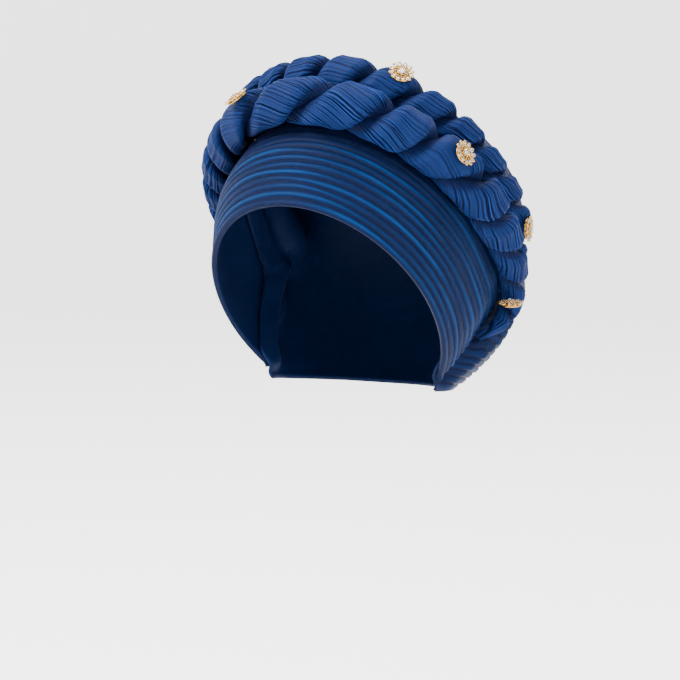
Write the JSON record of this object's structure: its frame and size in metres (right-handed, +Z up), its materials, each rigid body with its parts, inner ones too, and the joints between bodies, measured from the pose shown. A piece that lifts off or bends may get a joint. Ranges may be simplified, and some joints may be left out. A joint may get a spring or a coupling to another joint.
{
  "type": "turban cap",
  "caption": "Pleated cloth turban cap: a ribbed forehead band, a full bag over the crown and nape, padded twisted ropes over the head and small flower brooches.",
  "frame": {"origin": "the inside of the crown, where the top of the head sits", "axes": "-Y is the front of the cap, +X is the wearer's left, +Z is up"},
  "size_m": [0.2171, 0.2094, 0.2182],
  "materials": {
    "pleated_cloth": "finely pleated satin-weave cloth with a soft sheen",
    "rope_cloth": "gathered satin-weave cloth over padding",
    "gold": "polished pale gold, set with clear stones"
  },
  "bodies": {
    "root": {"forehead_band": "pleated_cloth", "crown_bag": "pleated_cloth", "front_rope_strand_a": "rope_cloth", "front_rope_strand_b": "rope_cloth", "back_rope_strand_a": "rope_cloth", "back_rope_strand_b": "rope_cloth", "brooch_1": "gold", "brooch_2": "gold", "brooch_3": "gold", "brooch_4": "gold", "brooch_5": "gold"}
  },
  "joints": []
}
